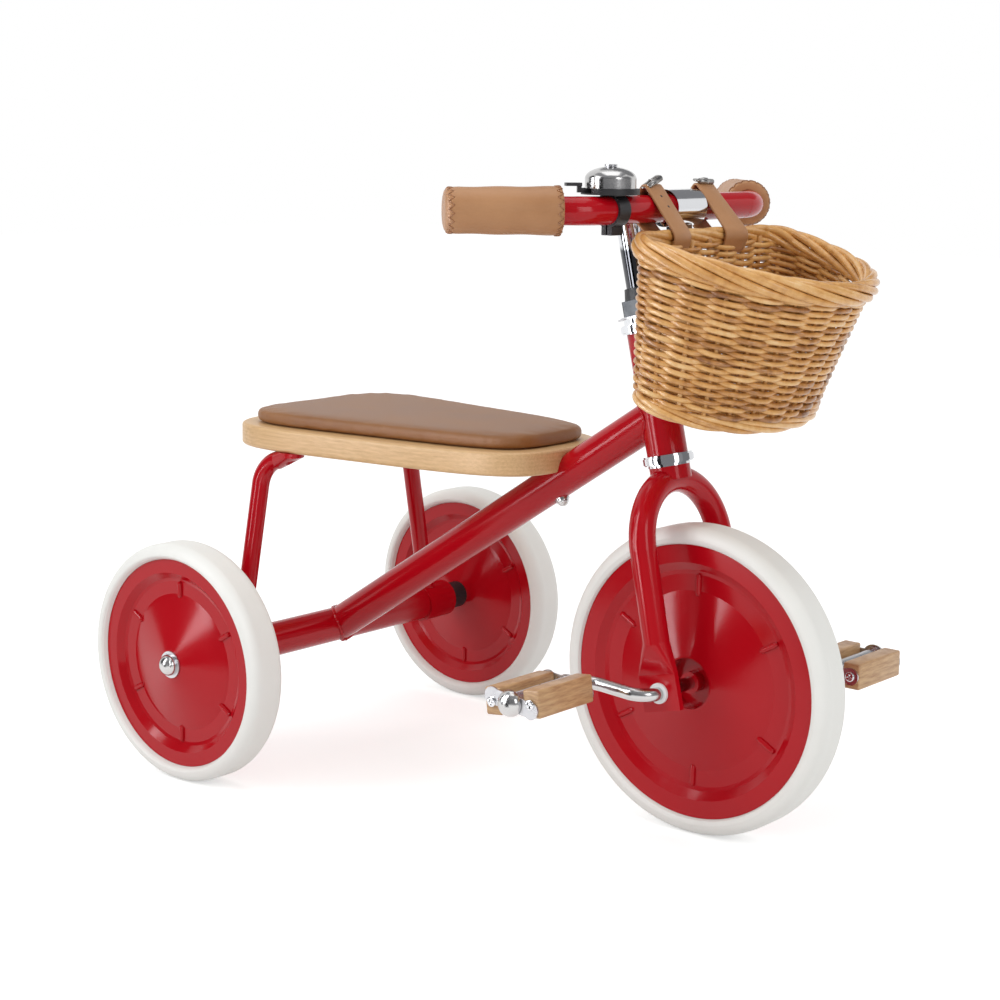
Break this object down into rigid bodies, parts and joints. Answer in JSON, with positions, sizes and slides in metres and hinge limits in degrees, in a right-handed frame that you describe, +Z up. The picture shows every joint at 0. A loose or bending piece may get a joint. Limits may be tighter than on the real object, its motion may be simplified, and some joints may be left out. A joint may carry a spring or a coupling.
{
  "type": "children's tricycle",
  "caption": "Children's pedal tricycle: steel tube frame, wooden seat with a pad, pressed disc wheels, swept handlebar with leather grips, a bell and a wicker basket.",
  "frame": {"origin": "on the floor, midway between the rearmost and the foremost point, in the middle plane", "axes": "+X points forward, +Y to the rider's left, +Z up"},
  "size_m": [0.6644, 0.4424, 0.5513],
  "materials": {
    "red_paint": "gloss powder coat over steel tube and pressed sheet",
    "zinc_steel": "zinc-plated steel",
    "chrome": "bright chrome plate",
    "dark_steel": "dark phosphated steel",
    "black_plastic": "moulded black plastic",
    "white_nylon": "natural nylon",
    "white_tyre": "solid off-white rubber",
    "ash_wood": "satin-lacquered ash",
    "seat_leather": "smooth brown leathercloth over foam",
    "tan_leather": "tan leather, whip-stitched",
    "wicker": "varnished willow wicker"
  },
  "bodies": {
    "frame": {"main_tube": "red_paint", "head_tube": "red_paint", "rear_axle_tube": "red_paint", "seat_strut_right": "red_paint", "seat_strut_left": "red_paint", "rear_axle": "zinc_steel", "axle_spacers": "black_plastic", "wheel_washers": "zinc_steel", "cap_nuts": "chrome", "seat_board": "ash_wood", "seat_pad": "seat_leather", "seat_bolt": "zinc_steel", "seat_nut": "chrome", "strut_screws": "zinc_steel", "headset_cups": "chrome", "headset_balls": "zinc_steel"},
    "fork": {"fork_legs": "red_paint", "fork_steerer": "red_paint", "dropout_right": "red_paint", "dropout_left": "red_paint", "crown_race": "chrome", "headset_cone": "chrome", "keyed_washer": "zinc_steel", "lock_nut": "dark_steel", "stem_seal": "black_plastic", "crank_bushes": "white_nylon"},
    "bar": {"stem": "chrome", "clamp_bolt": "zinc_steel", "expander_bolt": "zinc_steel", "expander_wedge": "zinc_steel", "handlebar": "red_paint", "grip_right": "tan_leather", "grip_left": "tan_leather", "bell_base": "black_plastic", "bell_dome": "chrome", "bell_nut": "zinc_steel", "basket": "wicker", "basket_straps": "tan_leather", "strap_buckles": "zinc_steel"},
    "rear_wheel_right": {"rear_disc_outer_right": "red_paint", "rear_disc_inner_right": "red_paint", "rear_hub_right": "zinc_steel", "rear_tyre_right": "white_tyre"},
    "rear_wheel_left": {"rear_disc_outer_left": "red_paint", "rear_disc_inner_left": "red_paint", "rear_hub_left": "zinc_steel", "rear_tyre_left": "white_tyre"},
    "front_wheel": {"front_disc_right": "red_paint", "front_disc_left": "red_paint", "front_hub": "red_paint", "front_tyre": "white_tyre", "crank_rod": "chrome", "pedal_caps": "chrome"},
    "pedal_right": {"pedal_blocks_right": "ash_wood", "pedal_carrier_right": "zinc_steel", "pedal_screws_right": "chrome"},
    "pedal_left": {"pedal_blocks_left": "ash_wood", "pedal_carrier_left": "zinc_steel", "pedal_screws_left": "chrome"},
    "bell_lever": {"bell_lever": "black_plastic"}
  },
  "joints": [
    {"name": "steering", "type": "hinge", "parent": "frame", "child": "fork", "pos_m": [0.19786, 0, 0.13], "axis": [-0.2334, 0, 0.9724], "range_deg": [-40, 40]},
    {"name": "stem_height", "type": "slide", "parent": "fork", "child": "bar", "axis": [-0.2334, 0, 0.9724], "range_m": [-0.015, 0.03]},
    {"name": "rear_spin_right", "type": "hinge", "parent": "frame", "child": "rear_wheel_right", "pos_m": [-0.22522, -0.192, 0.107], "axis": [0, 1, 0], "continuous": true},
    {"name": "rear_spin_left", "type": "hinge", "parent": "frame", "child": "rear_wheel_left", "pos_m": [-0.22522, 0.192, 0.107], "axis": [0, 1, 0], "continuous": true},
    {"name": "front_spin", "type": "hinge", "parent": "fork", "child": "front_wheel", "pos_m": [0.19478, 0, 0.13], "axis": [0, 1, 0], "continuous": true},
    {"name": "pedal_spin_right", "type": "hinge", "parent": "front_wheel", "child": "pedal_right", "pos_m": [0.13492, 0, 0.13419], "axis": [0, 1, 0], "continuous": true},
    {"name": "pedal_spin_left", "type": "hinge", "parent": "front_wheel", "child": "pedal_left", "pos_m": [0.25463, 0, 0.12581], "axis": [0, 1, 0], "continuous": true},
    {"name": "bell_thumb", "type": "hinge", "parent": "bar", "child": "bell_lever", "pos_m": [0.15479, -0.088, 0.533], "axis": [0, 0, 1], "range_deg": [0, 15], "stiffness_Nm_per_rad": 0.02, "springref_deg": -20.05}
  ]
}
